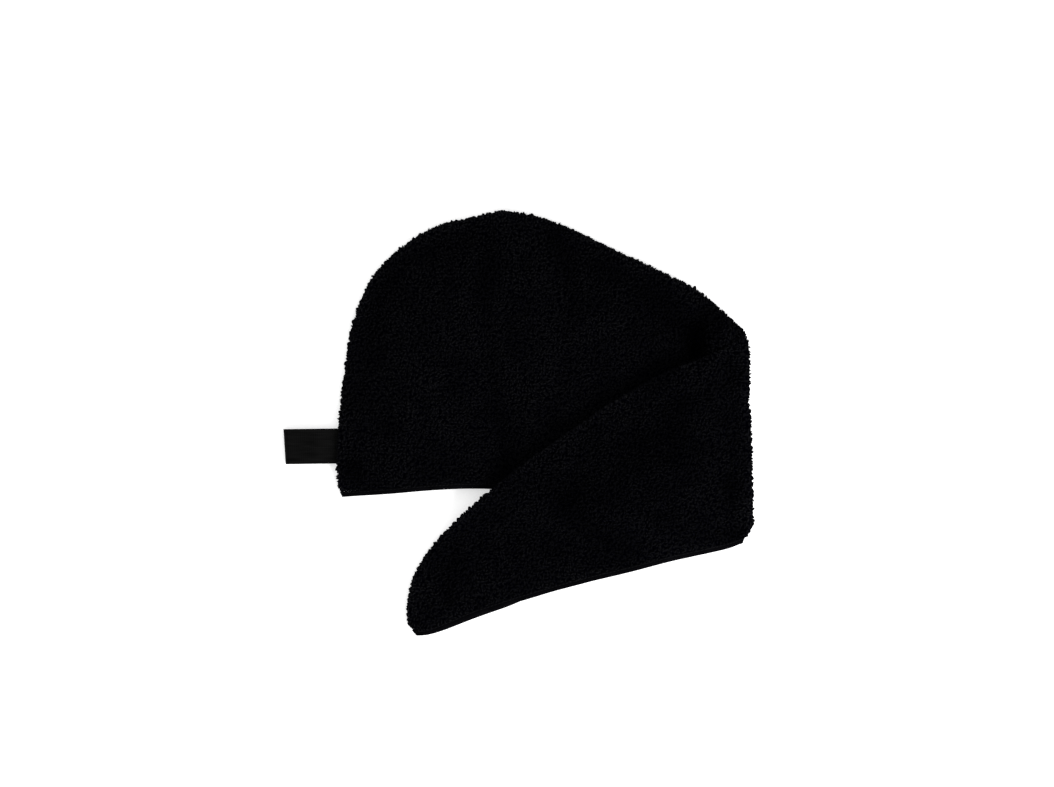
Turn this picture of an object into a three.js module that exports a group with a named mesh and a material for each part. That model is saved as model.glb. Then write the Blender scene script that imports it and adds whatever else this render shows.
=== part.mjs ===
// Hair turban towel, lying flat with its tail folded back over the hood: two terry panels sewn along
// the curved crown edge, a narrow hem on the open edge of each, and an elastic loop in the nape seam.
// Millimetres, +Z up. X runs from the nape edge to the fold, Y from the open hem to the crown.
import * as THREE from "three";

// Cloth, as cut
const towelLength = 650; // nape corner to the tip of the tail, unfolded
const crownHeight = 240; // nape corner to the level of the crown
const panelThickness = 3; // one layer of terry with its pile
const hemWidth = 5;
const hemThickness = 2.6;
const hemStagger = 2.2; // how far one tail hem strays past the other
const pieceGap = 0.3; // between neighbouring pieces
const edgeBlunt = 0.35; // share of its thickness that a layer keeps at its rounded edge
const hemBlunt = 0.4; // the hem's own rounding is cut off this far from its edge

// The fold: the tail turns over a line that leans a little off Y
const foldAlong = 342.6; // nape corner to the fold's axis, along X
const foldLean = 1.4; // degrees
const foldGap = 0.6; // between the two panels inside the fold
const foldSlot = 1.6; // between the hood and the tail, just inside the fold
const foldPinch = 0.5; // share of its bulge that the fold loses at its two ends
const foldPinchLength = 20;

// Air between the two panels
const hoodLoft = 9.5;
const tailLoft = 3.2;
const mouthShare = 0.8; // loft left at the open hem
const seamAllowance = 6;
const seamRise = 60; // distance over which the loft grows from a sewn edge
const foldRise = 60; // the same from the fold
const hemRise = 50; // the same from the open hem

// The tail resting on the hood and on the table
const restGap = 0.8;
const settle = 25; // distance over which the tail comes down from the fold
const dropStart = 2; // the tail clears the hood's hem by this before it drops
const dropWidth = 45;

// Elastic loop
const bandWidth = 30;
const bandThickness = 1.2;
const bandReach = 44; // how far the loop stands out of the seam
const bandHollow = 5.6; // inside height of the loop's round end
const bandFlat = 20; // length of the loop that keeps that height
const bandSeat = 9; // length of each end held in the seam
const bandUp = 41.5; // middle of the band above the nape corner
const bandSkew = 3; // the round end leans by this across the band
const bandMargin = 12; // the seam stays as wide this far round the band
const bandFade = 12; // and closes again over this distance along the seam

// Mesh density
const coarseStep = 16;
const foldSteps = 8;
const endStep = 1;
const endGrowth = 0.5; // how fast the steps widen away from the towel's two ends
const stationChecks = 4000; // places tried along the towel when the stations are set out
const acrossSteps = 12;
const rimShare = 0.35; // the row next to the sewn rim, as a share of the row before it
const hemSteps = 3;
const bandRunSteps = 14;
const bandTurnSteps = 10;
const bandWidthSteps = 4;

// Rule lines of the flat pattern, hem end and seam end. Along is a share of towelLength, up a share
// of crownHeight, stagger a share of hemStagger by which the front hem lies outside the back one.
const SECTIONS = [
  { at: "nape end", hemAlong: -0.002, hemUp: -0.007, seamAlong: -0.009, seamUp: 0.035, stagger: 0 },
  { at: "nape", hemAlong: 0.018, hemUp: -0.003, seamAlong: -0.0106, seamUp: 0.12, stagger: 0 },
  { at: "loop", hemAlong: 0.043, hemUp: 0.001, seamAlong: -0.0074, seamUp: 0.26, stagger: 0 },
  { at: "back of hood", hemAlong: 0.068, hemUp: 0.006, seamAlong: -0.001, seamUp: 0.42, stagger: 0 },
  { at: "back of crown", hemAlong: 0.096, hemUp: 0.013, seamAlong: 0.009, seamUp: 0.59, stagger: 0 },
  { at: "crown turn", hemAlong: 0.126, hemUp: 0.019, seamAlong: 0.033, seamUp: 0.76, stagger: 0 },
  { at: "crown turn", hemAlong: 0.16, hemUp: 0.023, seamAlong: 0.078, seamUp: 0.888, stagger: 0 },
  { at: "crown", hemAlong: 0.194, hemUp: 0.022, seamAlong: 0.1264, seamUp: 0.961, stagger: 0 },
  { at: "top of crown", hemAlong: 0.243, hemUp: 0.012, seamAlong: 0.212, seamUp: 1.012, stagger: 0 },
  { at: "crown front", hemAlong: 0.295, hemUp: -0.007, seamAlong: 0.28, seamUp: 0.97, stagger: 0 },
  { at: "front slope", hemAlong: 0.354, hemUp: -0.043, seamAlong: 0.351, seamUp: 0.88, stagger: 0 },
  { at: "front slope", hemAlong: 0.42, hemUp: -0.087, seamAlong: 0.416, seamUp: 0.799, stagger: 0 },
  { at: "before fold", hemAlong: 0.476, hemUp: -0.122, seamAlong: 0.47, seamUp: 0.7205, stagger: 0 },
  { at: "fold starts", hemAlong: 0.53, hemUp: -0.157, seamAlong: 0.5225, seamUp: 0.598, stagger: 0 },
  { at: "fold ends", hemAlong: 0.55, hemUp: -0.171, seamAlong: 0.544, seamUp: 0.558, stagger: 0 },
  { at: "tail root", hemAlong: 0.588, hemUp: -0.1915, seamAlong: 0.582, seamUp: 0.51, stagger: -0.4 },
  { at: "tail", hemAlong: 0.64, hemUp: -0.2125, seamAlong: 0.643, seamUp: 0.452, stagger: -1 },
  { at: "tail", hemAlong: 0.699, hemUp: -0.246, seamAlong: 0.717, seamUp: 0.352, stagger: -1 },
  { at: "tail", hemAlong: 0.761, hemUp: -0.279, seamAlong: 0.785, seamUp: 0.239, stagger: -0.8 },
  { at: "tail", hemAlong: 0.821, hemUp: -0.316, seamAlong: 0.846, seamUp: 0.133, stagger: -0.6 },
  { at: "hems cross", hemAlong: 0.872, hemUp: -0.357, seamAlong: 0.893, seamUp: 0.04, stagger: 0.6 },
  { at: "tail", hemAlong: 0.912, hemUp: -0.3885, seamAlong: 0.931, seamUp: -0.0457, stagger: 0.8 },
  { at: "tail", hemAlong: 0.942, hemUp: -0.4173, seamAlong: 0.9614, seamUp: -0.1268, stagger: 0.5 },
  { at: "tail", hemAlong: 0.961, hemUp: -0.4338, seamAlong: 0.9833, seamUp: -0.2077, stagger: 0.2 },
  { at: "tip", hemAlong: 0.973, hemUp: -0.4408, seamAlong: 0.9955, seamUp: -0.292, stagger: 0 },
  { at: "tip", hemAlong: 0.981, hemUp: -0.4418, seamAlong: 0.9988, seamUp: -0.362, stagger: 0 },
  { at: "tip end", hemAlong: 0.987, hemUp: -0.4415, seamAlong: 0.9978, seamUp: -0.405, stagger: 0 },
];

// Dents and creases of the upper surface, as lines on the flat pattern in the same shares. Width is
// a share of crownHeight, depth a share of the loft of the side that the line lies on.
const CREASES = [
  { at: "hood", fromAlong: 0.209, fromUp: 0.84, toAlong: 0.212, toUp: 0.15, width: 0.07, depth: 0.2 },
  { at: "nape", fromAlong: 0.09, fromUp: 0.3, toAlong: 0.16, toUp: 0.12, width: 0.06, depth: 0.12 },
  { at: "front", fromAlong: 0.33, fromUp: 0.72, toAlong: 0.39, toUp: 0.42, width: 0.08, depth: 0.18 },
  { at: "fold", fromAlong: 0.479, fromUp: 0.574, toAlong: 0.46, toUp: 0.6, width: 0.07, depth: 0.5 },
  { at: "tail", fromAlong: 0.56, fromUp: 0.4, toAlong: 0.648, toUp: 0.314, width: 0.045, depth: 0.55 },
  { at: "tail", fromAlong: 0.648, fromUp: 0.314, toAlong: 0.684, toUp: 0.2, width: 0.05, depth: 0.4 },
  { at: "tail", fromAlong: 0.56, fromUp: -0.01, toAlong: 0.63, toUp: 0.02, width: 0.06, depth: 0.3 },
];

const clamp01 = (t) => Math.min(1, Math.max(0, t));
const smooth = (t) => clamp01(t) ** 2 * (3 - 2 * clamp01(t));
const mix = (a, b, t) => a + (b - a) * t;

// Hem and seam edges as smooth curves through the sections
const column = (along, up) =>
  new THREE.CatmullRomCurve3(
    SECTIONS.map((s) => new THREE.Vector3(s[along] * towelLength, s[up] * crownHeight, 0)),
    false,
    "centripetal",
  );
const hemCurve = column("hemAlong", "hemUp");
const seamCurve = column("seamAlong", "seamUp");

function staggerAt(u) {
  const place = u * (SECTIONS.length - 1);
  const i = Math.min(Math.floor(place), SECTIONS.length - 2);
  return hemStagger * mix(SECTIONS[i].stagger, SECTIONS[i + 1].stagger, smooth(place - i));
}

// Distance from a point of the pattern to a polyline
function distanceTo(line, x, y) {
  let best = Infinity;
  for (let i = 0; i < line.length - 1; i++) {
    const dx = line[i + 1].x - line[i].x;
    const dy = line[i + 1].y - line[i].y;
    const t = clamp01(((x - line[i].x) * dx + (y - line[i].y) * dy) / (dx * dx + dy * dy || 1));
    best = Math.min(best, Math.hypot(x - line[i].x - t * dx, y - line[i].y - t * dy));
  }
  return best;
}
const EDGE_POINTS = 160;
const hemLine = hemCurve.getPoints(EDGE_POINTS);
const sewnLine = [hemCurve.getPoint(0), ...seamCurve.getPoints(EDGE_POINTS), hemCurve.getPoint(1)];

// Fold geometry: q is the distance past the fold's axis on the flat pattern
const foldAngle = THREE.MathUtils.degToRad(foldLean);
const foldNormal = new THREE.Vector2(Math.cos(foldAngle), Math.sin(foldAngle));
const foldHeight = 2 * panelThickness + foldGap + foldSlot / 2; // height of the fold's axis
const foldRadius = foldSlot / 2 + panelThickness + foldGap / 2; // at the layer between the panels
const foldArc = Math.PI * foldRadius;
const pastFold = (x, y) => (x - foldAlong) * foldNormal.x + y * foldNormal.y;

// Elastic band in the seam: both layers and the clearances round them, on the nape side only
const bandStack = 2 * bandThickness + 3 * pieceGap;
const napeSide = foldAlong / 2;
const seamAtBand = seamCurve
  .getPoints(EDGE_POINTS)
  .filter((p) => p.x < napeSide)
  .reduce((a, b) => (Math.abs(b.y - bandUp) < Math.abs(a.y - bandUp) ? b : a));

// Space between the two panels at a point of the flat pattern
function gapAt(x, y) {
  const q = pastFold(x, y);
  const onHood = q < foldArc / 2;
  const fromFold = Math.max(0, onHood ? -q : q - foldArc);
  const loft = onHood ? hoodLoft : tailLoft;
  const open = foldGap + (loft - foldGap) * smooth(fromFold / foldRise);
  const mouth = mix(mouthShare, 1, smooth(distanceTo(hemLine, x, y) / hemRise));
  const inside = smooth((distanceTo(sewnLine, x, y) - seamAllowance) / seamRise);
  let gap = mix(pieceGap, open * mouth, inside);
  for (const c of CREASES) {
    const line = [
      { x: c.fromAlong * towelLength, y: c.fromUp * crownHeight },
      { x: c.toAlong * towelLength, y: c.toUp * crownHeight },
    ];
    const off = distanceTo(line, x, y) / (c.width * crownHeight);
    gap -= c.depth * loft * Math.exp(-off * off) * inside * smooth(fromFold / settle);
  }
  const besideBand = Math.abs(y - bandUp) - bandWidth / 2 - bandMargin;
  const pastSeat = x - seamAtBand.x - bandSeat - bandMargin;
  const held = (1 - smooth(besideBand / bandFade)) * (1 - smooth(pastSeat / seamRise));
  return Math.max(gap, pieceGap, mix(pieceGap, bandStack, x < napeSide ? held : 0));
}

// Height of what the folded tail lies on, at a place on the table
function supportAt(x, y) {
  const hemUp = hemHeightAt(x);
  const outside = Math.max(0, hemUp - y);
  const top = 2 * panelThickness + gapAt(x, Math.max(y, hemUp)) + restGap;
  return top * (1 - smooth((outside - dropStart) / dropWidth));
}

function hemHeightAt(x) {
  const i = Math.max(1, hemLine.findIndex((p) => p.x >= x));
  const [a, b] = [hemLine[i - 1], hemLine[i]];
  return mix(a.y, b.y, clamp01((x - a.x) / (b.x - a.x)));
}

// Carries a point of the flat pattern, at a height over the table before folding, to its folded place
function folded(x, y, height) {
  const q = pastFold(x, y);
  if (q <= 0) return new THREE.Vector3(x, y, height);
  const baseX = x - q * foldNormal.x;
  const baseY = y - q * foldNormal.y;
  const radius = foldHeight - height;
  if (q < foldArc) {
    const fromEnd = Math.min(distanceTo(hemLine, x, y), distanceTo(sewnLine, x, y));
    const bulge = 1 - foldPinch * (1 - smooth(fromEnd / foldPinchLength));
    const reach = radius * Math.sin(q / foldRadius) * bulge;
    const z = foldHeight - radius * Math.cos(q / foldRadius);
    return new THREE.Vector3(baseX + reach * foldNormal.x, baseY + reach * foldNormal.y, z);
  }
  const back = q - foldArc;
  const px = baseX - back * foldNormal.x;
  const py = baseY - back * foldNormal.y;
  const resting = supportAt(px, py) + 2 * panelThickness + gapAt(x, y) - height;
  return new THREE.Vector3(px, py, mix(foldHeight + radius, resting, smooth(back / settle)));
}

// Stations along the towel: close at the ends and round the fold, wide elsewhere
function stationsAlong() {
  const total = hemCurve.getPoint(0).distanceTo(hemCurve.getPoint(1));
  const list = [0];
  for (let k = 1; k < stationChecks; k++) {
    const u = k / stationChecks;
    const last = list[list.length - 1];
    const hem = hemCurve.getPoint(u);
    const seam = seamCurve.getPoint(u);
    const walkedHem = hem.distanceTo(hemCurve.getPoint(last));
    const walked = Math.max(walkedHem, seam.distanceTo(seamCurve.getPoint(last)));
    const q = [pastFold(hem.x, hem.y), pastFold(seam.x, seam.y)];
    const inFold = Math.max(...q) > 0 && Math.min(...q) < foldArc + foldArc / foldSteps;
    const fromEnd = Math.min(u, 1 - u) * total;
    const step = inFold ? foldArc / foldSteps : Math.min(coarseStep, endStep + endGrowth * fromEnd);
    if (walked >= step) list.push(u);
  }
  return [...list, 1];
}
const stations = stationsAlong();

// A point on the rule line at u, at a distance from its hem end
function onRule(u, fromHem) {
  const hem = hemCurve.getPoint(u);
  const seam = seamCurve.getPoint(u);
  return hem.lerp(seam, fromHem / hem.distanceTo(seam));
}

// Full thickness inside, rounded off towards an edge
function roundedShare(distance, radius) {
  const t = clamp01(distance / radius);
  return Math.max(edgeBlunt, Math.sqrt(1 - (1 - t) ** 2));
}

// One closed body between two grids of points, high over low before folding
function slab(rows, columns, pointAt, material, name) {
  const positions = [];
  for (const side of [0, 1])
    for (let i = 0; i < rows; i++)
      for (let j = 0; j < columns; j++) positions.push(...pointAt(i, j, side).toArray());
  const id = (side, i, j) => (side * rows + i) * columns + j;
  const faces = [];
  const quad = (a, b, c, d) => faces.push(a, b, c, a, c, d);
  const [lastRow, lastColumn] = [rows - 1, columns - 1];
  for (let i = 0; i < lastRow; i++) {
    for (let j = 0; j < lastColumn; j++) {
      quad(id(1, i, j), id(1, i + 1, j), id(1, i + 1, j + 1), id(1, i, j + 1));
      quad(id(0, i, j), id(0, i, j + 1), id(0, i + 1, j + 1), id(0, i + 1, j));
    }
    quad(id(0, i, 0), id(0, i + 1, 0), id(1, i + 1, 0), id(1, i, 0));
    quad(id(0, i + 1, lastColumn), id(0, i, lastColumn), id(1, i, lastColumn), id(1, i + 1, lastColumn));
  }
  for (let j = 0; j < lastColumn; j++) {
    quad(id(0, 0, j + 1), id(0, 0, j), id(1, 0, j), id(1, 0, j + 1));
    quad(id(0, lastRow, j), id(0, lastRow, j + 1), id(1, lastRow, j + 1), id(1, lastRow, j));
  }
  const geometry = new THREE.BufferGeometry();
  geometry.setAttribute("position", new THREE.Float32BufferAttribute(positions, 3));
  geometry.setIndex(faces);
  geometry.computeVertexNormals();
  const mesh = new THREE.Mesh(geometry, material);
  mesh.name = name;
  return mesh;
}

// Stagger of a panel's hem: half of it on each panel, in opposite directions
const strayAt = (u, isOver) => (isOver ? -0.5 : 0.5) * staggerAt(u);

// A layer of cloth between two distances from the hem. The back panel lies on the table and the
// front one over the gap; each is rounded off on its outer side only.
function layerPoint(u, fromHem, isOver, thickness, outerShare, isHigh) {
  const p = onRule(u, fromHem);
  const gap = gapAt(p.x, p.y);
  const inner = isOver ? panelThickness + gap : panelThickness;
  const direction = isOver ? 1 : -1;
  const outer = inner + direction * thickness * outerShare;
  return folded(p.x, p.y, isHigh === isOver ? outer : inner);
}

function panel(name, isOver, material) {
  const columns = acrossSteps + 2;
  const pointAt = (i, j, side) => {
    const u = stations[i];
    const start = hemWidth + pieceGap + strayAt(u, isOver);
    const length = hemCurve.getPoint(u).distanceTo(seamCurve.getPoint(u)) - start;
    const lastStep = (1 - Math.cos(Math.PI / acrossSteps)) / 2;
    const eased = (1 - Math.cos((Math.PI * Math.min(j, acrossSteps)) / acrossSteps)) / 2;
    const share = [1 - rimShare * lastStep, 1][j - acrossSteps] ?? eased;
    const p = onRule(u, start + length * share);
    const round = roundedShare(distanceTo(sewnLine, p.x, p.y), panelThickness);
    return layerPoint(u, start + length * share, isOver, panelThickness, round, side === 1);
  };
  return slab(stations.length, columns, pointAt, material, name);
}

function hem(name, isOver, material) {
  const pointAt = (i, j, side) => {
    const u = stations[i];
    const start = strayAt(u, isOver);
    const fromHem = start + (hemWidth * j) / hemSteps;
    const fromSide = Math.min(fromHem - start, start + hemWidth - fromHem);
    const p = onRule(u, fromHem);
    const fromEnd = Math.min(p.distanceTo(onRule(0, fromHem)), p.distanceTo(onRule(1, fromHem)));
    const round = roundedShare(Math.min(fromSide, fromEnd) + hemBlunt, hemThickness / 2);
    return layerPoint(u, fromHem, isOver, hemThickness, round, side === 1);
  };
  return slab(stations.length, hemSteps + 1, pointAt, material, name);
}

// Elastic loop: a flat band folded double. Both ends lie in the seam, one over the other, and the
// round end rests on the table.
function elasticLoop(name, material) {
  const radius = (bandHollow + bandThickness) / 2;
  const seatMiddle = panelThickness + bandStack / 2;
  const seatOffset = (bandThickness + pieceGap) / 2;
  const seamX = seamAtBand.x;
  const turnX = seamX - bandReach + radius + bandThickness / 2;
  const low = bandThickness / 2;
  const layer = (x, isUpper) => {
    const seatZ = seatMiddle + (isUpper ? seatOffset : -seatOffset);
    const outZ = isUpper ? low + 2 * radius : low;
    const t = smooth((seamX - pieceGap - x) / (seamX - pieceGap - turnX - bandFlat));
    return new THREE.Vector2(x, mix(seatZ, outZ, t));
  };
  const along = (k) => mix(seamX + bandSeat, turnX, k / bandRunSteps);
  const path = [];
  for (let k = 0; k <= bandRunSteps; k++) path.push(layer(along(k), true));
  for (let k = 1; k < bandTurnSteps; k++) {
    const angle = Math.PI / 2 + (Math.PI * k) / bandTurnSteps;
    path.push(new THREE.Vector2(turnX + radius * Math.cos(angle), low + radius + radius * Math.sin(angle)));
  }
  for (let k = bandRunSteps; k >= 0; k--) path.push(layer(along(k), false));
  const pointAt = (i, j, side) => {
    const before = path[Math.max(0, i - 1)];
    const after = path[Math.min(path.length - 1, i + 1)];
    const heading = after.clone().sub(before).normalize();
    const off = (side === 1 ? 0.5 : -0.5) * bandThickness;
    const across = j / bandWidthSteps - 0.5;
    const out = clamp01((seamX - path[i].x) / bandReach);
    const x = path[i].x + heading.y * off + bandSkew * across * out;
    return new THREE.Vector3(x, bandUp - bandWidth * across, path[i].y - heading.x * off);
  };
  return slab(path.length, bandWidthSteps + 1, pointAt, material, name);
}

const cloth = (color, roughness) => new THREE.MeshStandardMaterial({ color, roughness, metalness: 0 });

const towel = new THREE.Group();
towel.add(
  panel("panel_under", false, cloth(0x0b0b0f, 1)),
  panel("panel_over", true, cloth(0x0b0b0f, 1)),
  hem("hem_under", false, cloth(0x09090c, 0.9)),
  hem("hem_over", true, cloth(0x09090c, 0.9)),
  elasticLoop("elastic_loop", cloth(0x161616, 0.75)),
);

// The origin is the middle of the whole towel, at the level of the table
const bounds = new THREE.Box3().setFromObject(towel);
const middle = bounds.getCenter(new THREE.Vector3());
towel.position.set(-middle.x, -middle.y, -bounds.min.z);

export default towel;
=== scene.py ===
"""Looks of a black terry hair turban towel that lies flat, its tail folded back over its hood.

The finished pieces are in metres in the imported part's frame: +X from the elastic loop to the fold,
+Y from the open hem to the crown, +Z up. The flat pattern is in millimetres, as it would be cut.
"""
import math

import bpy
import numpy as np
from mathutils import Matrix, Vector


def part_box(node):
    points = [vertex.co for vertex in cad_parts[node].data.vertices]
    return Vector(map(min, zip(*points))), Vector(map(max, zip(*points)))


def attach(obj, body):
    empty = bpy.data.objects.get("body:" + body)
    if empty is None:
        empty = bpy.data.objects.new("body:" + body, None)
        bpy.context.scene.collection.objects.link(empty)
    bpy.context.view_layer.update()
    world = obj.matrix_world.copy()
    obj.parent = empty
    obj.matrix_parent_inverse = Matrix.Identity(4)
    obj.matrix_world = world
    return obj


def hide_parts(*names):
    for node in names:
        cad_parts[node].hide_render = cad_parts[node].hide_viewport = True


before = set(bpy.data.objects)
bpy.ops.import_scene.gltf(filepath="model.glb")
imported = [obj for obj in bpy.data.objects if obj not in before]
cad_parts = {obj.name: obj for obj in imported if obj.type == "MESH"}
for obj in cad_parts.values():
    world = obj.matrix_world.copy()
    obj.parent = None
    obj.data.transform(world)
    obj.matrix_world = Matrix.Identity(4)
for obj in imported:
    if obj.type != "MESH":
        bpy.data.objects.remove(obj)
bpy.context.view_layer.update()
MM = 0.001


# Terry panels
# Two mirrored panels of black cotton terry, cut wide for the head and narrow for the tail. They are
# sewn together along the curved crown edge, turned, and folded once so that the tail lies back over
# the hood. This is their woven ground; the loops of the pile stand on it.
TOWEL_LENGTH = 650.0  # nape corner to the tip of the tail, unfolded
CROWN_HEIGHT = 240.0  # nape corner to the level of the crown
PANEL_THICKNESS = 3.0  # one layer of terry with the pile of both faces
GROUND_THICKNESS = 1.3  # the same without its pile
GROUND_MIDDLE = 1.45  # from the panel's inner face
SEAM_INSET = 2.0  # the ground's rim lies this far inside the pile's outline
HEM_WIDTH = 5.0
HEM_STAGGER = 2.2  # how far one tail hem strays past the other
HEM_EASE = 0.5  # how far both lie outside the pattern's line, as they spread when pressed
EDGE_BLUNT = 0.35  # share of its thickness that a panel keeps at its sewn rim

# Rule lines of the flat pattern: hem along and up, seam along and up, stagger of the hems. Along is
# a share of TOWEL_LENGTH, up a share of CROWN_HEIGHT and stagger a share of HEM_STAGGER.
RULES = np.array([
    (-0.002, -0.007, -0.009, 0.035, 0),  # nape corner
    (0.018, -0.003, -0.0106, 0.12, 0),
    (0.043, 0.001, -0.0074, 0.26, 0),  # elastic loop
    (0.068, 0.006, -0.001, 0.42, 0),
    (0.096, 0.013, 0.009, 0.59, 0),
    (0.126, 0.019, 0.033, 0.76, 0),
    (0.16, 0.023, 0.078, 0.888, 0),
    (0.194, 0.022, 0.1264, 0.963, 0),
    (0.218, 0.018, 0.17, 0.99, 0),
    (0.243, 0.012, 0.212, 1.012, 0),  # top of the crown
    (0.295, -0.007, 0.28, 0.97, 0),
    (0.354, -0.043, 0.351, 0.88, 0),
    (0.42, -0.087, 0.416, 0.799, 0),
    (0.476, -0.122, 0.47, 0.7205, 0),
    (0.53, -0.157, 0.5225, 0.598, 0),  # fold
    (0.55, -0.171, 0.544, 0.558, 0),
    (0.588, -0.1915, 0.582, 0.51, -0.4),
    (0.64, -0.2125, 0.643, 0.452, -1),
    (0.699, -0.246, 0.717, 0.352, -1),
    (0.761, -0.279, 0.785, 0.239, -0.8),
    (0.821, -0.316, 0.846, 0.133, -0.6),
    (0.872, -0.357, 0.893, 0.04, 0.6),  # the two hems cross
    (0.912, -0.3885, 0.931, -0.0457, 0.8),
    (0.942, -0.4173, 0.9614, -0.1268, 0.5),
    (0.961, -0.4338, 0.9833, -0.2077, 0.2),
    (0.973, -0.4408, 0.9955, -0.292, 0),
    (0.981, -0.4418, 0.9988, -0.362, 0),
    (0.987, -0.4415, 0.9978, -0.405, 0),  # tip of the tail
])

# Dents and creases: from along and up, to along and up, width as a share of CROWN_HEIGHT, and depth
# as a share of the loft of the side that the crease lies on.
CREASES = [
    (0.209, 0.84, 0.212, 0.15, 0.07, 0.2),  # hood
    (0.09, 0.3, 0.16, 0.12, 0.06, 0.12),  # nape
    (0.33, 0.72, 0.39, 0.42, 0.08, 0.18),  # front of the hood
    (0.479, 0.574, 0.46, 0.6, 0.07, 0.5),  # hollow where the tail leaves the fold
    (0.56, 0.4, 0.648, 0.314, 0.045, 0.55),  # tail
    (0.648, 0.314, 0.684, 0.2, 0.05, 0.4),
    (0.56, -0.01, 0.63, 0.02, 0.06, 0.3),
]

FOLD_ALONG = 342.6  # nape corner to the fold's axis
FOLD_LEAN = math.radians(1.4)
FOLD_GAP = 0.6  # between the two panels inside the fold
FOLD_SLOT = 1.6  # between the hood and the tail, just inside the fold
FOLD_PINCH = ((0.85, 16.0), (0.5, 11.0))  # share of its bulge lost at hem and seam, and how far in
FOLD_CORNER = 3.6  # how far the fold's corner is drawn in at the hem, which rounds it
CORNER_WIDTH = 6.0  # from the hem, over which that fades
FOLD_NIP = 2.0  # how far the fold is drawn in where the tail's crease meets it
NIP_UP = 81.0  # above the nape corner
NIP_WIDTH = 9.0
DRAWN_REACH = 16.0  # from the fold, over which both fade
SEWN_GAP = 0.3  # between the two panels at the seam
HOOD_LOFT = 9.5  # air between the two panels
TAIL_LOFT = 3.2
MOUTH_SHARE = 0.8  # of the loft, at the open hem
SEAM_ALLOWANCE = 6.0
SEAM_RISE = 60.0  # distances over which the loft grows
FOLD_RISE = 60.0
HEM_RISE = 50.0
REST_GAP = 0.8  # between the hood and the tail that lies on it
SETTLE = 25.0  # distance over which the tail comes down from the fold
DROP_START = 2.0  # beyond the hood's hem, where the tail starts to come down to the table
DROP_WIDTH = 45.0

BAND_WIDTH = 30.0
BAND_THICKNESS = 1.2
BAND_UP = 41.5  # middle of the elastic loop above the nape corner
BAND_SEAT = 9.0  # length of each end held in the seam
BAND_MARGIN = 12.0  # the panels are held apart this far round the seated ends
BAND_FADE = 12.0

fold_normal = np.array([math.cos(FOLD_LEAN), math.sin(FOLD_LEAN)])
fold_height = 2 * PANEL_THICKNESS + FOLD_GAP + FOLD_SLOT / 2
fold_radius = FOLD_SLOT / 2 + PANEL_THICKNESS + FOLD_GAP / 2
fold_arc = math.pi * fold_radius
band_stack = 2 * BAND_THICKNESS + 3 * SEWN_GAP
nape_side = FOLD_ALONG / 2


def smooth(t):
    t = np.clip(t, 0, 1)
    return t * t * (3 - 2 * t)


def mix(a, b, t):
    return a + (b - a) * t


def curve_through(points, u):
    """A centripetal Catmull-Rom curve through the points, at shares u of their row."""
    place = np.clip(u, 0, 1) * (len(points) - 1)
    i = np.minimum(place.astype(int), len(points) - 2)
    row = np.vstack([2 * points[0] - points[1], points, 2 * points[-1] - points[-2]])
    p0, p1, p2, p3 = (row[i + k] for k in range(4))
    steps = ((p0, p1), (p1, p2), (p2, p3))
    d0, d1, d2 = (np.linalg.norm(b - a, axis=1)[:, None] ** 0.5 for a, b in steps)
    leave = ((p1 - p0) / d0 - (p2 - p0) / (d0 + d1) + (p2 - p1) / d1) * d1
    arrive = ((p2 - p1) / d1 - (p3 - p1) / (d1 + d2) + (p3 - p2) / d2) * d1
    t = (place - i)[:, None]
    far = t * t * (3 - 2 * t)
    return (1 - far) * p1 + far * p2 + t * (1 - t) * ((1 - t) * leave - t * arrive)


def hem_at(u):
    return curve_through(RULES[:, 0:2] * (TOWEL_LENGTH, CROWN_HEIGHT), u)


def unit(vectors):
    return vectors / np.maximum(np.linalg.norm(vectors, axis=1), 1e-12)[:, None]


def inwards_of(run):
    """The way into the cloth from its seam, where the seam runs on from nape to tip."""
    return np.stack([run[:, 1], -run[:, 0]], 1)


def seam_at(u, inset=0.0):
    """The seam line, or a line that runs inset mm inside it."""
    step = 0.002  # of the towel, to either side, over which its heading is taken
    points, before, after = (
        curve_through(RULES[:, 2:4] * (TOWEL_LENGTH, CROWN_HEIGHT), np.clip(u + way * step, 0, 1))
        for way in (0, -1, 1)
    )
    return points + inset * inwards_of(unit(after - before))


def stagger_at(u):
    place = np.clip(u, 0, 1) * (len(RULES) - 1)
    i = np.minimum(place.astype(int), len(RULES) - 2)
    return HEM_STAGGER * mix(RULES[i, 4], RULES[i + 1, 4], smooth(place - i))


def hem_start(u, is_over):
    """Where a panel's hem starts, from the hem line: the two hems stray half the stagger each."""
    return (-0.5 if is_over else 0.5) * stagger_at(u) - HEM_EASE


def distance_to(line, points):
    """Distance of each point of the pattern to a polyline."""
    best = np.full(len(points), np.inf)
    for a, b in zip(line[:-1], line[1:]):
        step = b - a
        off = points - a
        t = np.clip((off @ step) / max(step @ step, 1e-9), 0, 1)
        best = np.minimum(best, np.hypot(off[:, 0] - t * step[0], off[:, 1] - t * step[1]))
    return best


EDGE_POINTS = 161  # on each of the two long edges, where distances to them are measured

edge_shares = np.linspace(0, 1, EDGE_POINTS)
hem_line = hem_at(edge_shares)
seam_line = seam_at(edge_shares)
sewn_line = np.vstack([hem_line[:1], seam_line, hem_line[-1:]])
outline = np.vstack([hem_line, seam_line[::-1]])
nape_seam = seam_line[seam_line[:, 0] < nape_side]
seam_at_band = nape_seam[np.argmin(abs(nape_seam[:, 1] - BAND_UP))]

# The cloth never lies quite flat: low waves of a hand's breadth and less, at chosen headings
WAVES = [(61, 20, 0.3), (47, 115, 1.9), (38, 70, 4.1), (33, 160, 0.8), (27, 40, 5.2), (23, 100, 2.6)]
WAVE_HEIGHT = 0.22  # of each wave


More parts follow.
